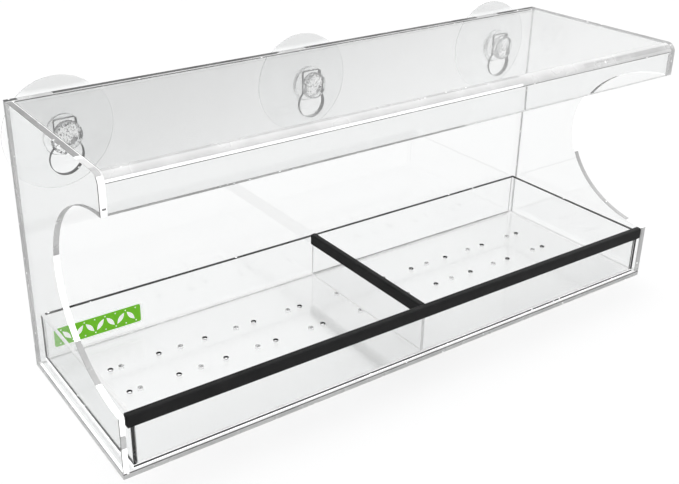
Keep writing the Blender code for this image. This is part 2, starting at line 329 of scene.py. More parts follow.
def cup_vinyl(name, tint, top_tint, fleck, group):
    """Soft moulded vinyl: wavy, greyer towards each disc's top, with a lumpy head full of dark flecks."""
    material, tree, shader = plastic_base(name, tint, 1.5, 1.0)
    place = object_coordinates(tree)
    marks = add_marks(tree, group)
    stands = tree.nodes.new("ShaderNodeAttribute")
    stands.attribute_name = CUP_PLACE
    parts = tree.nodes.new("ShaderNodeSeparateXYZ")
    tree.links.new(stands.outputs["Vector"], parts.inputs["Vector"])
    reach, rise, head = parts.outputs
    toward_top = range_node(tree, rise, 0.0235, 0.0265)
    core = range_node(tree, reach, 0.0085, 0.0115, 0.5, 0.0)
    lumps = math_node(tree, "MULTIPLY", noise_node(tree, place, 480.0, 3.0, 0.6), core)
    waves = math_node(tree, "MULTIPLY", marks["Height"], 0.3)
    crowd = range_node(tree, reach, 0.0064, 0.0074, 0.0, 0.09)
    grit = math_node(tree, "ADD", noise_node(tree, place, 1300.0, 1.0), crowd)
    flecks = math_node(tree, "MULTIPLY", range_node(tree, grit, 0.57, 0.60), head)
    body = mix_colour(tree, flecks, mix_colour(tree, toward_top, tint, top_tint), fleck)
    raised = bump_node(tree, math_node(tree, "ADD", lumps, waves), 1.0, 0.0003)
    give(tree, shader.inputs, {"Base Color": body, "Roughness": marks["Roughness"], "Normal": raised})
    lamps_pass(tree, shader.outputs["BSDF"])
    return material


def cut_edge(name, group, light, dark, clear=0.3, glow=0.0, bubbles=1.0):
    """A cut edge: the same plastic, frosted in patches, with glue bubbles; its tones are painted light and
    shade, and its emission is a painted glow.
    """
    material, tree, shader = plastic_base(name, light, 1.49, clear)
    marks = add_marks(tree, group, Light=light, Dark=dark, Glow=glow, Bubbles=bubbles)
    give(tree, shader.inputs, {
        "Base Color": marks["Color"],
        "Emission Color": marks["Painted_glow_colour"],
        "Emission Strength": 1.0,
        "Roughness": marks["Roughness"],
        "Normal": bump_node(tree, marks["Height"], 0.15, 0.0001),
    })
    lamps_pass(tree, shader.outputs["BSDF"])
    return material


def trim_rubber(name, colour):
    """Extruded black rubber: matt, finely grained, with a faint bloom."""
    material, tree, shader = plastic_base(name, colour, 1.5, 0.0)
    place = object_coordinates(tree)
    grain = noise_node(tree, place, 4200.0, 3.0)
    bloom = range_node(tree, noise_node(tree, place, 60.0, 4.0, 0.6), 0.3, 0.7)
    give(tree, shader.inputs, {
        "Base Color": mix_colour(tree, bloom, [c * 0.7 for c in colour], [c * 1.5 for c in colour]),
        "Roughness": range_node(tree, grain, 0.3, 0.7, 0.5, 0.7),
        "Specular IOR Level": 0.3,
        "Normal": bump_node(tree, grain, 0.35, 0.00012),
    })
    return material


def label_film(name, colour, glow):
    """Printed film: even ink with a painted glow, painted white where a sheet mirrors it as a painted
    reflection.
    """
    material, tree, shader = plastic_base(name, colour, 1.45, 0.0)
    ink = noise_node(tree, object_coordinates(tree), 900.0)
    even = mix_colour(tree, ink, [c * 0.92 for c in colour], [min(c * 1.06, 1) for c in colour])
    path = tree.nodes.new("ShaderNodeLightPath")
    # Where a ray has bounced an odd number of times the ink turns white: a painted reflection
    mirrored = math_node(tree, "MODULO", path.outputs["Ray Depth"], 2.0)
    tint = mix_colour(tree, mirrored, even, WHITE)
    give(tree, shader.inputs, {
        "Base Color": tint,
        "Emission Color": tint,
        "Emission Strength": glow,
        "Roughness": range_node(tree, ink, 0.3, 0.7, 0.32, 0.45),
        "Specular IOR Level": 0.2,
    })
    return material


# Settings

def tone_setting(name, description, value):
    """A colour that a user may change, or a grey where it is one number."""
    value = value if isinstance(value, tuple) else (value, value, value)
    return bpy.props.FloatVectorProperty(
        name=name, description=description, default=value, min=0, max=1, subtype="COLOR",
    )


def length_setting(name, description, value, low=-1, high=1):
    """A length in metres that a user may change."""
    return amount_setting(name, description, value, low, high, "LENGTH")


def amount_setting(name, description, value, low, high, unit="NONE"):
    """A plain number that a user may change."""
    return bpy.props.FloatProperty(
        name=name, description=description, default=value, min=low, max=high, unit=unit,
    )


def count_setting(name, description, value, low, high):
    """A number of facets or flutes that a user may change."""
    return bpy.props.IntProperty(name=name, description=description, default=value, min=low, max=high)


class FeederSheetSettings(bpy.types.PropertyGroup):
    edge_ease: length_setting("Edge ease", "Width of each edge's scraped corner", 0.00025, 0.0001, 0.0006)
    cutout_steps: count_setting("Cut-out steps", "Facets round each side cut-out", 96, 24, 240)
    bend_steps: count_setting("Bend steps", "Facets round the roof's heat bend", 20, 4, 48)
    tint: tone_setting("Sheet tint", "What a crossing of the sheet lets through", (0.93, 0.935, 0.935))
    # The left panel's slightly darker tint is painted shade on the same acrylic
    side_tint: tone_setting("Left sheet tint", "The same for the left side panel", (0.92, 0.925, 0.925))
    low_glare: amount_setting("Low glare", "Refractive index of the left sheets' faces", 1.08, 1, 1.6)
    # The edge tones below are painted light and shade given to the cut edges; Edge glow is a painted glow
    edge_light: tone_setting("Sawn edge, lighter", "Cut edge where the scraper polished it", 0.78)
    edge_dark: tone_setting("Sawn edge, darker", "Cut edge where the saw left it", 0.66)
    top_light: tone_setting("Top edge, lighter", "Side panels' upper edges at their palest", 0.42)
    top_dark: tone_setting("Top edge, darker", "Side panels' upper edges at their greyest", 0.32)
    dark_shade_light: tone_setting("Keyhole edge, lighter", "Painted dark shade at its palest", 0.12)
    dark_shade_dark: tone_setting("Keyhole edge, darker", "Painted dark shade at its darkest", 0.06)
    pale_light: tone_setting("Pale painted edge, lighter", "Pale painted grey at its palest", 0.85)
    pale_dark: tone_setting("Pale painted edge, darker", "Pale painted grey at its greyest", 0.70)
    haze_shade_light: tone_setting("Bend haze, lighter", "Roof's bend haze and painted shade at its palest", 0.86)
    haze_shade_dark: tone_setting("Bend haze, darker", "Roof's bend haze and painted shade at its greyest", 0.78)
    dull_shade_light: tone_setting("Painted dull shade, lighter", "Cut-out's painted shade stretches at their palest", 0.57)
    dull_shade_dark: tone_setting("Painted dull shade, darker", "Cut-out's painted shade stretches at their greyest", 0.48)
    glow: amount_setting("Edge glow", "Painted glow of the highlighted edges", 0.6, 0, 1)


class FeederTraySettings(bpy.types.PropertyGroup):
    tint: tone_setting("Tray tint", "What a crossing of its sheet lets through", (0.965, 0.968, 0.968))
    # The tray rim's tones are painted dark shade
    edge_light: tone_setting("Tray edge, lighter", "Rim's painted dark shade at its palest", 0.12)
    edge_dark: tone_setting("Tray edge, darker", "Rim's painted dark shade at its darkest", 0.05)


class FeederCupSettings(bpy.types.PropertyGroup):
    rings: count_setting("Sides", "Steps round each suction cup", 128, 24, 192)
    flutes: count_setting("Flutes", "Shallow grip flutes round each head", 32, 0, 48)
    flute_depth: length_setting("Flute depth", "How deep the grip flutes are", 0.00022, 0, 0.0006)
    tint: tone_setting("Vinyl tint", "Colour of the clear soft vinyl", (0.975, 0.98, 0.98))
    top_tint: tone_setting("Top tint", "Colour of the vinyl at each disc's top", (0.80, 0.805, 0.805))
    fleck: tone_setting("Flecks", "Colour of the dark flecks in each head", 0.03)


class FeederTrimSettings(bpy.types.PropertyGroup):
    colour: tone_setting("Rubber", "Colour of the edge trim", (0.008, 0.008, 0.0085))


class FeederLabelSettings(bpy.types.PropertyGroup):
    green: tone_setting("Label green", "Ink of the label's ground", (0.19, 0.60, 0.03))
    left: length_setting("Left end", "Where the label starts along the tray's back wall", -0.179)
    width: length_setting("Width", "Length of the label", 0.054)
    foot: length_setting("Foot", "Height of the label's lower edge", 0.0105)
    height: length_setting("Height", "Height of the label", 0.0140)


class FeederStageSettings(bpy.types.PropertyGroup):
    floor: tone_setting("Floor", "Colour of the pale floor", 0.93)
    # The mirrored floor tone is a painted reflection; the floor lift is painted light
    mirrored_floor: tone_setting("Mirrored floor", "The floor's tone where a sheet mirrors it", 0.56)
    floor_lift: tone_setting("Floor lift", "Light added to the floor behind a sheet", 0.02)
    sky: amount_setting("Overhead light", "Brightness of the studio's ceiling", 1.72, 0, 5)
    flag: amount_setting("Low light", "Brightness of the studio near its floor", 0.36, 0, 5)
    lens: amount_setting("Lens", "The camera's focal length in millimetres", 51.63, 10, 200)


# Pieces

BEND_OUTER, BEND_INNER = 0.0055, 0.0008
CUTOUT_DEPTH, ARM_HEIGHT = 0.0678, 0.0362
CUTOUT_RISE = (ROOF_LOW.z - ARM_HEIGHT) / 2
CUP_RADIUS = (CUP_HIGH.x - CUP_LOW.x) / 2

# Where the left panel's edge changes between painted highlights and painted shades: along its top, down its
# bend, at the seam and the glue patch
LEFT_TOP_GLINT = (-0.0435, -0.0403)
LEFT_TOP_GREY = -0.0562
BEND_HIGHLIGHT_TOP = 0.1594
ARRIS = 0.00035
SEAM, SEAM_START = (0.1440, 0.1450), -0.1893
GLUE_PATCH = (0.0181, 0.0258)

# The glue in the side panels' joints, and how far a painted grey shade reaches in from the front of a
# panel's inner face
GLUE_DEPTH, GLUE_TOP = 0.0020, 0.1256
FOOT_GLUE = 0.0010
FRONT_SHADE_DEPTH, LIP_SHADE_DEPTH = 0.0012, 0.0030

# The painted dark shade line along the top of the base's edges
BASE_LINE = 0.0005

# Where the lip's painted dark lower edge pales, the bend's painted white highlight line fades and its
# painted haze shade greys, and the lip's glued end
LIP_FADES = (0.02, 0.10)
BEND_FADES, BEND_GREYS, BEND_DULLS = 0.06, 0.11, 0.15
LIP_GLUE = 0.0026

# The roof's rear glue line: its own width and the width of the painted dark shade line in front of it
GLUE_LINE, DARK_LINE = 0.0020, 0.0016

# How far the painted dark shade reaches down the tray's walls
DARK_RIM_DEPTH = 0.0004

# A cup's head: its radius, and where its back stands from the back panel's rear face
HEAD_RADIUS, HEAD_BACK = 0.0083, -0.0035

# Each cup vertex's distance from its axis, its height above it, and whether it is on the head
CUP_PLACE = "cup_place"

SHEET = BACK_HIGH.y - BACK_LOW.y
HOLE_SIDES = 24

# Which of a sheet's materials a face takes: the clear face, then edge tones that carry painted light and
# shade (a sawn grey of painted shade, a painted highlight, a grey of painted shade also used at a seam, a
# near-black painted shade, a pale painted grey, haze with painted shade, and a dull painted shade)
FACE, SAWN_GREY_SHADE, PAINTED_HIGHLIGHT, GREY_SHADE_AND_SEAM, PAINTED_DARK_SHADE, PAINTED_PALE_GREY, HAZE_AND_PAINTED_SHADE, PAINTED_DULL_SHADE = range(8)


def split(bm, axis, place):
    """Cut every face along a plane square to an axis, so that stretches of an edge can differ."""
    normal = [1 if letter == axis else 0 for letter in "XYZ"]
    bmesh.ops.bisect_plane(
        bm, geom=bm.verts[:] + bm.edges[:] + bm.faces[:], dist=1e-7,
        plane_co=[place * share for share in normal], plane_no=normal,
    )


LEFT_TOP_BANDS = ((LEFT_TOP_GLINT[1], GREY_SHADE_AND_SEAM), (LEFT_TOP_GLINT[0], PAINTED_HIGHLIGHT), (LEFT_TOP_GREY, HAZE_AND_PAINTED_SHADE), (-1, SAWN_GREY_SHADE))
LEFT_SPLITS = [("Y", place) for place in (*LEFT_TOP_GLINT, LEFT_TOP_GREY, SIDE_HIGH.y - GLUE_DEPTH)]
LEFT_SPLITS += [("Z", place) for place in (*GLUE_PATCH, *SEAM, BEND_HIGHLIGHT_TOP, GLUE_TOP)]
LEFT_SPLITS += [("Z", SIDE_LOW.z + FOOT_GLUE), ("X", SIDE_LOW.x + ARRIS), ("X", SEAM_START)]


def all_clear(side, middle):
    """The look of a sheet's faces, unless it has its own rule."""
    return FACE


def finish_sheet(node, bm, axis, materials, body, slot, width, edge_at, splits=(), face_at=all_clear):
    """Ease a sheet's edges, tell its faces from its cut edges, and stand it for its node."""
    ease(bm, width)
    for split_axis, place in splits:
        split(bm, split_axis, place)
    index = "XYZ".index(axis)
    for face in bm.faces:
        flat = abs(face.normal[index]) > 0.95 and axis
        face.material_index = (face_at if flat else edge_at)(face, face.calc_center_median())
    used = sorted({face.material_index for face in bm.faces})
    for face in bm.faces:
        face.material_index = used.index(face.material_index)
    return finished(node + "_clear", bm, [materials[i] for i in used], body, (node,))


def inside_by(middle, low, high):
    """How far a point of a level sheet lies inside its outline."""
    return min(middle.x - low.x, high.x - middle.x, middle.y - low.y, high.y - middle.y)


def hole_places(node, radius):
    """Where the drain holes of a packed sheet stand, from the rims in its mesh."""
    low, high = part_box(node)
    rims = []
    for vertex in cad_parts[node].data.vertices:
        x, y = vertex.co.x, vertex.co.y
        if inside_by(vertex.co, low, high) < radius * 2:
            continue
        for rim in rims:
            if math.hypot(rim[0] - x, rim[1] - y) < radius * 4:
                rim[2], rim[3] = min(rim[2], x), max(rim[3], x)
                rim[4], rim[5] = min(rim[4], y), max(rim[5], y)
                break
        else:
            rims.append([x, y, x, x, y, y])
    return [((rim[2] + rim[3]) / 2, (rim[4] + rim[5]) / 2) for rim in rims]


def drilled_sheet(node, radius):
    """A level sheet with its drain holes."""
    low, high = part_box(node)
    outlines = [rectangle((low.x, low.y), (high.x, high.y))]
    outlines += [circle(place, radius, HOLE_SIDES) for place in hole_places(node, radius)]
    return sawn_sheet(outlines, "Z", low.z, high.z)


def plain_sheet(node, axis):
    """A sheet without holes, over its node's box."""
    low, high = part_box(node)
    index = "XYZ".index(axis)
    flat = [i for i in range(3) if i != index]
    outline = rectangle([low[i] for i in flat], [high[i] for i in flat])
    return sawn_sheet([outline], axis, low[index], high[index])


def keyhole(cup_x, cup_z):
    """The entry hole and the square-topped slot above it."""
    entry_radius, slot_half, drop, rise, corner = 0.0090, 0.0062, 0.0117, 0.0087, 0.0012
    opening = math.degrees(math.asin(slot_half / entry_radius))
    points = rounded((0, -drop), entry_radius, 90 - opening, opening - 270, 64)
    points += rounded((corner - slot_half, rise - corner), corner, 180, 90, 6)
    points += rounded((slot_half - corner, rise - corner), corner, 90, 0, 6)
    return [(cup_x + x, cup_z + z) for x, z in points]


def side_outline(cutout_steps, bend_steps):
    """A side panel seen from the side: a C with the roof bend's round corner."""
    front, back = SIDE_LOW.y, SIDE_HIGH.y
    foot, top = SIDE_LOW.z, SIDE_HIGH.z
    bend, cutout = (front + BEND_OUTER, top - BEND_OUTER), (front, ARM_HEIGHT + CUTOUT_RISE)
    outline = [(back, foot), (back, top)]
    outline += rounded(bend, BEND_OUTER, 90, 180, bend_steps)
    outline += rounded(cutout, (CUTOUT_DEPTH, CUTOUT_RISE), 90, -90, cutout_steps)
    outline.append((front, foot))
    return outline


def roof_outline(bend_steps):
    """The roof's section: level sheet, heat bend and lip."""
    front, back, top, bottom = ROOF_LOW.y, ROOF_HIGH.y, ROOF_HIGH.z, ROOF_LOW.z
    outer = (front + BEND_OUTER, top - BEND_OUTER)
    inner = (front + SHEET + BEND_INNER, top - SHEET - BEND_INNER)
    outline = [(back, top - SHEET), (back, top)]
    outline += rounded(outer, BEND_OUTER, 90, 180, bend_steps)
    outline += [(front, bottom), (front + SHEET, bottom)]
    outline += rounded(inner, BEND_INNER, 180, 90, bend_steps)
    return outline


def cup_centres():
    """Each cup's side and the place of its axis."""
    centres = []
    for side in CUP_SIDES:
        low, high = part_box(side + "_suction_cup")
        centres.append((side, (low.x + high.x) / 2, (low.z + high.z) / 2))
    return centres


class FEEDER_OT_housing(bpy.types.Operator):
    """Make the housing's five acrylic sheets"""

    bl_idname = "feeder.housing"
    bl_label = "Housing sheets"

    def execute(self, context):
        settings = context.scene.feeder_sheets
        marks, wipes = saw_marks_group(), wipe_marks_group()
        low_glare = clear_sheet("low_glare_acrylic_face", settings.side_tint, wipes, ior=settings.low_glare)
        # Each edge material carries painted light and shade: the sawn edge's grey is painted shade over
        # real frosting and glue bubbles, then a white painted highlight with a painted glow, a grey and a
        # near-black of painted shade, a pale painted grey, a haze grey of painted shade with a faint
        # painted glow, and a dull painted shade
        materials = (
            clear_sheet("clear_acrylic_face", settings.tint, wipes),
            cut_edge("sawn_edge_painted_grey", marks, settings.edge_light, settings.edge_dark, 0.2),
            cut_edge("painted_highlight_edge", marks, WHITE, (0.93, 0.93, 0.93), glow=settings.glow),
            cut_edge("grey_shade_and_seam_edge", marks, settings.top_light, settings.top_dark, 0.0),
            cut_edge("painted_dark_shade_edge", marks, settings.dark_shade_light, settings.dark_shade_dark, 0.0),
            cut_edge("painted_pale_grey_edge", marks, settings.pale_light, settings.pale_dark),
            cut_edge("haze_and_painted_shade_edge", marks, settings.haze_shade_light, settings.haze_shade_dark, 0.1, 0.08, 0.0),
            cut_edge("painted_dull_shade_edge", marks, settings.dull_shade_light, settings.dull_shade_dark, 0.05),
        )

        def sheet(node, bm, axis, *rules):
            own = (low_glare, *materials[1:]) if node == "left_side_panel" else materials
            finish_sheet(node, bm, axis, own, "housing", "clear_acrylic", settings.edge_ease, *rules)

        def base_edge(side, middle):
            """A left edge in the haze grey of painted shade, a painted dark shade line along the others'
            tops, and holes drilled clean.
            """
            if inside_by(middle, BASE_LOW, BASE_HIGH) > SHEET:
                return FACE
            if side.normal.x < -0.5:
                return HAZE_AND_PAINTED_SHADE
            return PAINTED_DARK_SHADE if middle.z > BASE_HIGH.z - BASE_LINE else SAWN_GREY_SHADE

        splits = [("Z", BASE_HIGH.z - BASE_LINE)]
        sheet("base_panel", drilled_sheet("base_panel", 0.0015), "Z", base_edge, splits)

        centres = cup_centres()
        # Where each disc lies behind the back panel's top edge, a pale painted grey stands for the disc's
        # light: a painted glint
        glints = [(x - CUP_RADIUS * 0.76, x - CUP_RADIUS * 0.16) for cup, x, z in centres]

        def back_edge(side, middle):
            """Keyholes in painted dark shade, and a top edge in painted dark shade that is painted pale
            behind each disc.
            """
            if middle.z > BACK_HIGH.z - SHEET / 4 and side.normal.z > 0.3:
                return PAINTED_PALE_GREY if any(low < middle.x < high for low, high in glints) else PAINTED_DARK_SHADE
            outer = min(middle.x - BACK_LOW.x, BACK_HIGH.x - middle.x, middle.z - BACK_LOW.z) < SHEET / 2
            return SAWN_GREY_SHADE if outer else PAINTED_DARK_SHADE

        outlines = [rectangle((BACK_LOW.x, BACK_LOW.z), (BACK_HIGH.x, BACK_HIGH.z))]
        outlines += [keyhole(x, z) for cup, x, z in centres]
        splits = [("X", place) for glint in glints for place in glint]
        sheet("back_panel", sawn_sheet(outlines, "Y", BACK_LOW.y, BACK_HIGH.y), "Y", back_edge, splits)

        outline = side_outline(settings.cutout_steps, settings.bend_steps)

        def cutout_turn(middle):
            """Where on its cut-out a point lies, from -90 at the arm to 90 at the lip, or None off it."""
            across = (middle.y - SIDE_LOW.y) / CUTOUT_DEPTH
            up = (middle.z - ARM_HEIGHT - CUTOUT_RISE) / CUTOUT_RISE
            on_it = across > 0.01 and math.hypot(across, up) < 1.02
            return math.degrees(math.atan2(up, across)) if on_it else None

        def banded(place, bands):
            """The look of the stretch that a place falls in."""
            return next((look for least, look in bands if place > least), PAINTED_HIGHLIGHT)

        def left_edge(side, middle):
            """The left panel's edge carries painted highlights along its front, with stretches of painted
            grey shade, a seam and a glue patch.
            """
            turn = cutout_turn(middle)
            if turn is not None:
                return banded(turn, ((58, GREY_SHADE_AND_SEAM), (5, PAINTED_PALE_GREY), (-43, PAINTED_HIGHLIGHT), (-67, PAINTED_DULL_SHADE)))
            if middle.y > SIDE_HIGH.y - SHEET / 2:
                return SAWN_GREY_SHADE
            if middle.z > BEND_HIGHLIGHT_TOP:
                return banded(middle.y, LEFT_TOP_BANDS)
            # A thin line of painted grey shade along the outer arris
            if middle.x < SIDE_LOW.x + ARRIS:
                return GREY_SHADE_AND_SEAM
            if middle.z > ROOF_LOW.z:
                return GREY_SHADE_AND_SEAM if SEAM[0] < middle.z < SEAM[1] and middle.x > SEAM_START else PAINTED_HIGHLIGHT
            return SAWN_GREY_SHADE if GLUE_PATCH[0] < middle.z < GLUE_PATCH[1] else PAINTED_HIGHLIGHT

        def left_face(side, middle):
            """The outer face shows the glue of its rear joint and of its foot."""
            if side.normal.x > 0:
                return FACE
            if middle.z < SIDE_LOW.z + FOOT_GLUE:
                return HAZE_AND_PAINTED_SHADE
            return SAWN_GREY_SHADE if middle.y > SIDE_HIGH.y - GLUE_DEPTH and middle.z < GLUE_TOP else FACE

        def right_edge(side, middle):
            """The right panel's edge carries a painted highlight only at the cut-out's deep end, with
            painted grey shade elsewhere.
            """
            turn = cutout_turn(middle)
            if turn is not None:
                return banded(turn, ((54, PAINTED_HIGHLIGHT), (26, GREY_SHADE_AND_SEAM), (-21, PAINTED_HIGHLIGHT), (-79, PAINTED_DULL_SHADE)))
            return GREY_SHADE_AND_SEAM if middle.z > SIDE_HIGH.z - SHEET / 4 else SAWN_GREY_SHADE

        def right_face(side, middle):
            """The inner face is painted grey along its front, as shade, and more so beside the lip."""
            depth = LIP_SHADE_DEPTH if middle.z > ROOF_LOW.z - 0.001 else FRONT_SHADE_DEPTH
            return SAWN_GREY_SHADE if middle.y < SIDE_LOW.y + depth and side.normal.x < 0 else FACE

        right_splits = [("Y", SIDE_LOW.y + depth) for depth in (FRONT_SHADE_DEPTH, LIP_SHADE_DEPTH)]
        sides = (
            ("left_side_panel", left_edge, left_face, LEFT_SPLITS),
            ("right_side_panel", right_edge, right_face, right_splits),
        )
        for node, edge_at, face_at, splits in sides:
            low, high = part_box(node)
            sheet(node, sawn_sheet([outline], "X", low.x, high.x), "X", edge_at, splits, face_at)

        glue_line = ROOF_HIGH.y - GLUE_LINE
        lip_glue = ROOF_HIGH.x - LIP_GLUE

        def roof_edge(side, middle):
            """A painted highlight on the left end, a glue line along the rear behind a painted dark shade
            line, a bend lined with painted highlight and painted shade, and a lip with painted dark shade
            at its left.
            """
            if side.normal.x < -0.5:
                return PAINTED_HIGHLIGHT
            if middle.z > ROOF_HIGH.z - SHEET / 8 and middle.y > glue_line - DARK_LINE:
                return SAWN_GREY_SHADE if middle.y > glue_line else PAINTED_DARK_SHADE
            if middle.z < ROOF_LOW.z + SHEET / 8:
                return GREY_SHADE_AND_SEAM if middle.x < LIP_FADES[0] else SAWN_GREY_SHADE if middle.x < LIP_FADES[1] else PAINTED_PALE_GREY
            forward, up = ROOF_LOW.y + BEND_OUTER - middle.y, middle.z - ROOF_HIGH.z + BEND_OUTER
            if min(forward, up) > 0 and math.hypot(forward, up) > BEND_OUTER * 0.9:
                turn = math.degrees(math.atan2(forward, up)) + 90
                if middle.x < BEND_FADES:
                    bands = ((176, FACE), (171, GREY_SHADE_AND_SEAM), (157, PAINTED_HIGHLIGHT), (112, HAZE_AND_PAINTED_SHADE), (94, PAINTED_PALE_GREY), (0, FACE))
                else:
                    core = HAZE_AND_PAINTED_SHADE if middle.x < BEND_GREYS else PAINTED_PALE_GREY if middle.x < BEND_DULLS else SAWN_GREY_SHADE
                    bands = ((176, FACE), (171, GREY_SHADE_AND_SEAM), (151, HAZE_AND_PAINTED_SHADE), (121, core), (94, HAZE_AND_PAINTED_SHADE), (0, FACE))
                return banded(turn, bands)
            if middle.x > lip_glue and side.normal.y < -0.5:
                return SAWN_GREY_SHADE
            return FACE

        roof = sawn_sheet([roof_outline(settings.bend_steps)], "X", ROOF_LOW.x, ROOF_HIGH.x)
        places = (*LIP_FADES, BEND_FADES, BEND_GREYS, BEND_DULLS, lip_glue)
        splits = [("Y", glue_line), ("Y", glue_line - DARK_LINE)] + [("X", place) for place in places]
        sheet("roof_and_lip", roof, "", roof_edge, splits)
        return {"FINISHED"}


class FEEDER_OT_tray(bpy.types.Operator):
    """Make the tray's six thinner acrylic sheets"""

    bl_idname = "feeder.tray"
    bl_label = "Tray sheets"

    def execute(self, context):
        settings = context.scene.feeder_tray
        width = context.scene.feeder_sheets.edge_ease
        wipes, marks = bpy.data.node_groups["wipe_marks"], bpy.data.node_groups["saw_marks"]
        wall = clear_sheet("tray_acrylic_face", settings.tint, wipes)
        glare = context.scene.feeder_sheets.low_glare
        low_glare = clear_sheet("tray_low_glare_face", settings.tint, wipes, ior=glare)
        worn = clear_sheet("tray_floor_face", settings.tint, wipes, 0.07)
        # The tray's rim tints and black rim are painted shade, and it borrows the housing's painted
        # highlight and its haze grey of painted shade with a faint painted glow
        rim = cut_edge("tray_rim_painted_shade", marks, settings.edge_light, settings.edge_dark, 1.0)
        bright, haze = bpy.data.materials["painted_highlight_edge"], bpy.data.materials["haze_and_painted_shade_edge"]
        black = cut_edge("tray_painted_dark_rim", marks, (0.03, 0.03, 0.03), (0.015, 0.015, 0.015), 0.0)

        def sheet(node, bm, axis, face, *rules):
            materials = (face, rim, bright, rim, black, rim, haze)
            finish_sheet(node, bm, axis, materials, "tray", "clear_tray_acrylic", width, *rules)

        # Above this height the drain holes' walls are painted dark, as shade
        hole_shade_line = FLOOR_LOW.z + (FLOOR_HIGH.z - FLOOR_LOW.z) * 0.42

        def floor_edge(side, middle):
            """Holes painted dark round their tops as shade, and outer edges given a painted highlight under
            a painted dark shade line at the front.
            """
            painted_dark = middle.z > hole_shade_line
            if inside_by(middle, FLOOR_LOW, FLOOR_HIGH) < SHEET:
                return PAINTED_DARK_SHADE if painted_dark and side.normal.y < -0.5 else PAINTED_HIGHLIGHT
            return PAINTED_DARK_SHADE if painted_dark else FACE

        def wall_edge(side, middle):
            """Tops are black with painted shade; the other edges take the haze grey, which is painted shade
            with a faint painted glow.
            """
            return PAINTED_DARK_SHADE if side.normal.z > 0.3 else HAZE_AND_PAINTED_SHADE

        def wall_face(side, middle):
            """Painted dark shade reaches a little way down both faces from the top."""
            return PAINTED_DARK_SHADE if middle.z > REAR_HIGH.z - DARK_RIM_DEPTH else FACE

        def front_wall_edge(side, middle):
            """The front wall's right end is black too, and its left end is grey, both painted shade."""
            if side.normal.x < -0.5:
                return SAWN_GREY_SHADE
            return PAINTED_DARK_SHADE if side.normal.x > 0.5 else wall_edge(side, middle)

        def back_wall_edge(side, middle):
            """The back wall's foot is painted dark along its right half, as shade."""
            dark = side.normal.z < -0.5 and middle.x > BEAD_HIGH.x
            return PAINTED_DARK_SHADE if dark else wall_edge(side, middle)

        def left_wall_edge(side, middle):
            """The left wall's top takes the haze grey with its faint painted glow; its foot and rear end
            are black, its front grey, as painted shade.
            """
            if side.normal.y < -0.5:
                return SAWN_GREY_SHADE
            return PAINTED_DARK_SHADE if side.normal.z < -0.5 or side.normal.y > 0.5 else HAZE_AND_PAINTED_SHADE

        def left_wall_face(side, middle):
            """The left wall's faces are painted dark along its foot and its rear end, as shade."""
            painted_dark = middle.z < REAR_LOW.z + DARK_RIM_DEPTH or middle.y > REAR_HIGH.y - DARK_RIM_DEPTH
            return PAINTED_DARK_SHADE if painted_dark else FACE

        def right_wall_edge(side, middle):
            """The right wall's front end is black, painted shade."""
            return PAINTED_DARK_SHADE if side.normal.y < -0.5 else wall_edge(side, middle)

        sheet("tray_floor", drilled_sheet("tray_floor", 0.0014), "Z", worn, floor_edge, [("Z", hole_shade_line)])
        rules = {
            "tray_front_wall": front_wall_edge,
            "tray_back_wall": back_wall_edge,
            "tray_left_wall": left_wall_edge,
            "tray_right_wall": right_wall_edge,
            "tray_divider": wall_edge,
        }
        for node, edge_at in rules.items():
            axis = "Y" if node in ("tray_front_wall", "tray_back_wall") else "X"
            face_at, splits = wall_face, [("Z", REAR_HIGH.z - DARK_RIM_DEPTH)]
            if node == "tray_left_wall":
                face_at = left_wall_face
                splits = [("Z", REAR_LOW.z + DARK_RIM_DEPTH), ("Y", REAR_HIGH.y - DARK_RIM_DEPTH)]
            if node == "tray_back_wall":
                splits.append(("X", BEAD_HIGH.x))
            face = low_glare if node == "tray_left_wall" else wall
            sheet(node, plain_sheet(node, axis), axis, face, edge_at, splits, face_at)
        return {"FINISHED"}


class FEEDER_OT_trim(bpy.types.Operator):
    """Make the two black rubber edge strips"""

    bl_idname = "feeder.trim"
    bl_label = "Rubber trim"

    def execute(self, context):
        rubber = trim_rubber("edge_trim_rubber", context.scene.feeder_trim.colour)
        for node in ("front_trim_strip", "divider_trim_strip"):
            bm = bmesh.new()
            bm.from_mesh(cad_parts[node].data)
            bmesh.ops.remove_doubles(bm, verts=bm.verts, dist=1e-6)
            least = math.radians(0.5)
            bmesh.ops.dissolve_limit(bm, angle_limit=least, verts=bm.verts[:], edges=bm.edges[:])
            finished(node + "_rubber", bm, (rubber,), "tray", (node,))
        return {"FINISHED"}


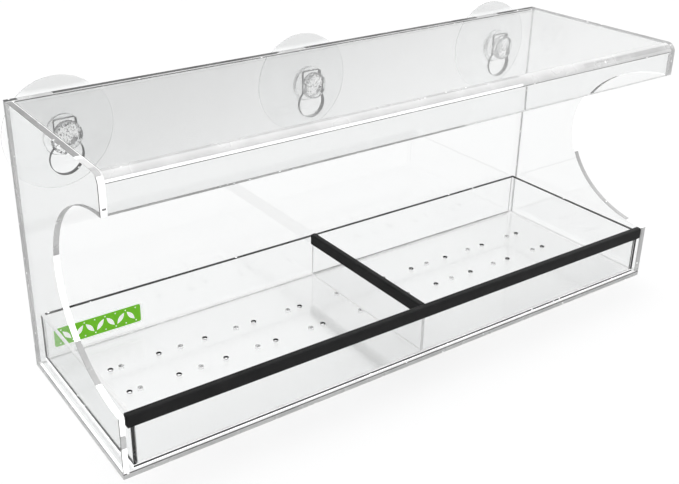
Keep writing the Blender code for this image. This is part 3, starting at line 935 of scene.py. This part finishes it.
def cup_section():
    """Half of a cup's section, as (radius, distance behind the back panel), from crown to hollow."""
    head_back, head_front, head_radius, neck_radius = HEAD_BACK, -0.0085, HEAD_RADIUS, 0.0055
    boss_radius, boss_face, rim_radius, rim_plane = 0.0105, 0.0003, 0.03175, 0.0100
    land_inner, hollow = 0.03055, 0.0040
    section = [(0, head_front + 0.0006), (0.0012, head_front + 0.0005)]
    section += rounded((0.0030, head_front + 0.0008), (0.0012, 0.0008), -150, -80, 5)
    section += rounded((0.0040, head_back - 0.0018), (head_radius - 0.0040, 0.0032), -80, 0, 14)
    section += rounded((head_radius - 0.0006, head_back - 0.0006), 0.0006, 0, 90, 4)
    section += rounded((neck_radius + 0.0005, head_back + 0.0005), 0.0005, -90, -180, 4)
    section += rounded((neck_radius + 0.0004, boss_face - 0.0004), 0.0004, 180, 90, 3)
    section += rounded((boss_radius - 0.0007, boss_face + 0.0007), 0.0007, -90, 0, 5)
    steps = 24
    for step in range(steps + 1):
        share = step / steps
        radius = boss_radius + (rim_radius - boss_radius) * share
        wall = 0.0024 + (0.0009 - 0.0024) * share
        bowl = hollow * (1 - min(radius / land_inner, 1) ** 2)
        flare = 0.0011 * max(0, 1 - share * 7) ** 2
        section.append((radius, rim_plane - bowl - wall - flare))
    section += rounded((rim_radius - 0.00025, rim_plane - 0.0004), (0.00025, 0.0003), -40, 80, 5)
    for step in range(steps + 1):
        share = 1 - step / steps
        section.append((land_inner * share, rim_plane - hollow * (1 - share ** 2)))
    return section


class FEEDER_OT_cups(bpy.types.Operator):
    """Turn the three clear vinyl suction cups"""

    bl_idname = "feeder.cups"
    bl_label = "Suction cups"

    def execute(self, context):
        settings = context.scene.feeder_cups
        wipes = bpy.data.node_groups["wipe_marks"]
        vinyl = cup_vinyl("soft_clear_vinyl", settings.tint, settings.top_tint, settings.fleck, wipes)
        for side, cup_x, cup_z in cup_centres():
            bm = bmesh.new()
            chain = []
            for radius, behind in cup_section():
                chain.append(bm.verts.new((cup_x, BACK_HIGH.y + behind, cup_z + radius)))
            edges = [bm.edges.new(pair) for pair in zip(chain, chain[1:])]
            bmesh.ops.spin(
                bm, geom=chain + edges, axis=(0, 1, 0), cent=(cup_x, 0, cup_z),
                angle=math.tau, steps=settings.rings, use_merge=True,
            )
            bmesh.ops.remove_doubles(bm, verts=bm.verts, dist=1e-6)
            stands = bm.verts.layers.float_vector.new(CUP_PLACE)
            for vertex in bm.verts:
                across, up = vertex.co.x - cup_x, vertex.co.z - cup_z
                radius = math.hypot(across, up)
                on_head = vertex.co.y < BACK_HIGH.y + HEAD_BACK
                vertex[stands] = (radius, up, on_head)
                if on_head and radius > HEAD_RADIUS * 0.8:
                    ripple = (1 - math.cos(math.atan2(up, across) * settings.flutes)) / 2
                    inward = settings.flute_depth * ripple * min((radius / HEAD_RADIUS - 0.8) / 0.15, 1)
                    vertex.co.x -= across / radius * inward
                    vertex.co.z -= up / radius * inward
            node, body = side + "_suction_cup", side + "_cup"
            finished(body + "_vinyl", bm, (vinyl,), body, (node,))
        return {"FINISHED"}


def leaf(centre, length, width, turn):
    """A leaf's outline, pointed at both ends."""
    shares = [step / 8 for step in range(9)]
    upper = [(length * (share - 0.5), width / 2 * math.sin(math.pi * share)) for share in shares]
    points = upper + [(x, -y) for x, y in upper[-2:0:-1]]
    c, s = math.cos(turn), math.sin(turn)
    return [(centre[0] + c * x - s * y, centre[1] + s * x + c * y) for x, y in points]


class FEEDER_OT_label(bpy.types.Operator):
    """Stick the plain printed label on the tray's back wall"""

    bl_idname = "feeder.label"
    bl_label = "Label"

    def execute(self, context):
        settings = context.scene.feeder_label
        # The inks' emission is a painted glow, from no lamp
        white = label_film("label_white_ink", (0.92, 0.94, 0.90), 0.3)
        green = label_film("label_green_ink", settings.green, 0.12)
        film, ink, gap, border, corner = 0.00012, 0.00003, 0.00008, 0.0011, 0.0024
        rear = REAR_LOW.y - gap - film
        left, foot, width, height = settings.left, settings.foot, settings.width, settings.height

        def field(inset):
            """The label's round-cornered outline, or its border's."""
            low, high = (left + corner, foot + corner), (left + width - corner, foot + height - corner)
            outline = []
            for index, centre in enumerate((high, (low[0], high[1]), low, (high[0], low[1]))):
                start = 90 * index
                outline += rounded(centre, corner - inset, start, start + 90, 6)
            return outline

        bm = sawn_sheet([field(0)], "Y", rear, rear + film)
        shapes = [(field(border), 1, 1)]
        middle = foot + height / 2
        for index in range(7):
            x = left + width * (0.14 + 0.12 * index)
            turn = math.radians(52 if index % 2 else 128)
            shapes.append((leaf((x, middle), 0.0078, 0.0027, turn), 0, 2))
        for index in range(8):
            x = left + width * (0.08 + 0.12 * index)
            for z in (foot + 0.0027, foot + height - 0.0027):
                shapes.append((circle((x, z), 0.00042, 10), 0, 2))
        for outline, material, layer in shapes:
            for front, back in ((rear - ink * layer, rear), (rear + film, rear + film + ink * layer)):
                inlay = sawn_sheet([outline], "Y", front, back)
                for face in inlay.faces:
                    face.material_index = material
                join_into(bm, inlay)
        label = finished("label", bm, (white, green), "tray", (), smooth=False)
        label.visible_glossy = False
        return {"FINISHED"}


class FEEDER_OT_stage(bpy.types.Operator):
    """Lay the pale floor, light the studio and set the camera up"""

    bl_idname = "feeder.stage"
    bl_label = "Stage"

    def execute(self, context):
        settings = context.scene.feeder_stage
        scene = context.scene
        bm = bmesh.new()
        bmesh.ops.create_grid(bm, x_segments=1, y_segments=1, size=40)
        material, tree, shader = plastic_base("pale_floor", settings.floor, 1.5, 0.0)
        # The floor is painted darker where a sheet reflects it, a painted reflection, and its emission seen
        # through a sheet is painted light
        path = tree.nodes.new("ShaderNodeLightPath").outputs
        mirrored, through = path["Is Reflection Ray"], path["Is Transmission Ray"]
        give(tree, shader.inputs, {
            "Base Color": mix_colour(tree, mirrored, settings.floor, settings.mirrored_floor),
            "Emission Color": mix_colour(tree, through, BLACK, settings.floor_lift),
            "Emission Strength": 1.0,
            "Roughness": 1.0,
            "Specular IOR Level": 0.0,
        })
        floor = new_object("studio_floor", bm, (material,))
        floor.location.z = -0.0002

        world = bpy.data.worlds.new("studio")
        world.use_nodes = True
        tree = world.node_tree
        direction = tree.nodes.new("ShaderNodeTexCoord")
        axes = tree.nodes.new("ShaderNodeSeparateXYZ")
        tree.links.new(direction.outputs["Generated"], axes.inputs["Vector"])
        lean = math_node(tree, "MULTIPLY", axes.outputs["X"], 0.8)
        rise = math_node(tree, "ADD", axes.outputs["Z"], lean)
        walls = 0.95
        light = range_node(tree, rise, 0.60, 0.90, settings.flag, walls)
        ceiling = range_node(tree, axes.outputs["Z"], 0.45, 0.85, 0.0, settings.sky - walls)
        strength = math_node(tree, "ADD", light, ceiling)
        give(tree, tree.nodes["Background"].inputs, {"Color": WHITE, "Strength": strength})
        scene.world = world

        camera_data = bpy.data.cameras.new("camera")
        camera_data.lens = settings.lens
        camera_data.sensor_width = 36
        camera_data.shift_x = 0.0748
        camera_data.shift_y = -0.0490
        camera = bpy.data.objects.new("camera", camera_data)
        camera.matrix_world = Matrix.Translation((-0.32974, -0.42383, 0.31738))
        azimuth, elevation, roll = -33.285, 24.562, -0.0749
        for degrees, axis in ((azimuth, "Z"), (90 - elevation, "X"), (roll, "Z")):
            camera.matrix_world = camera.matrix_world @ Matrix.Rotation(math.radians(degrees), 4, axis)
        scene.collection.objects.link(camera)
        scene.camera = camera

        scene.view_settings.view_transform = "Standard"
        scene.view_settings.look = "None"
        scene.cycles.max_bounces = 64
        scene.cycles.transmission_bounces = 64
        scene.cycles.glossy_bounces = 64
        scene.cycles.transparent_max_bounces = 32
        return {"FINISHED"}


class FEEDER_PT_panel(bpy.types.Panel):
    """Lists the feeder's pieces and their settings"""

    bl_idname = "FEEDER_PT_panel"
    bl_label = "Window bird feeder"
    bl_space_type = "VIEW_3D"
    bl_region_type = "UI"
    bl_category = "Feeder"

    def draw(self, context):
        for name, group, operator in ROWS:
            box = self.layout.box()
            settings = getattr(context.scene, name)
            for key in group.__annotations__:
                box.prop(settings, key)
            box.operator(operator.bl_idname)


# Each row of the panel: where its settings are kept, their class, and its operator
ROWS = (
    ("feeder_stage", FeederStageSettings, FEEDER_OT_stage),
    ("feeder_sheets", FeederSheetSettings, FEEDER_OT_housing),
    ("feeder_tray", FeederTraySettings, FEEDER_OT_tray),
    ("feeder_trim", FeederTrimSettings, FEEDER_OT_trim),
    ("feeder_cups", FeederCupSettings, FEEDER_OT_cups),
    ("feeder_label", FeederLabelSettings, FEEDER_OT_label),
)


def register():
    for name, group, operator in ROWS:
        bpy.utils.register_class(group)
        setattr(bpy.types.Scene, name, bpy.props.PointerProperty(type=group))
        bpy.utils.register_class(operator)
    bpy.utils.register_class(FEEDER_PT_panel)


def unregister():
    bpy.utils.unregister_class(FEEDER_PT_panel)
    for name, group, operator in reversed(ROWS):
        bpy.utils.unregister_class(operator)
        delattr(bpy.types.Scene, name)
        bpy.utils.unregister_class(group)


def main():
    register()
    bpy.ops.feeder.stage()
    bpy.ops.feeder.housing()
    bpy.ops.feeder.tray()
    bpy.ops.feeder.trim()
    bpy.ops.feeder.cups()
    bpy.ops.feeder.label()


if __name__ == "__main__":
    main()
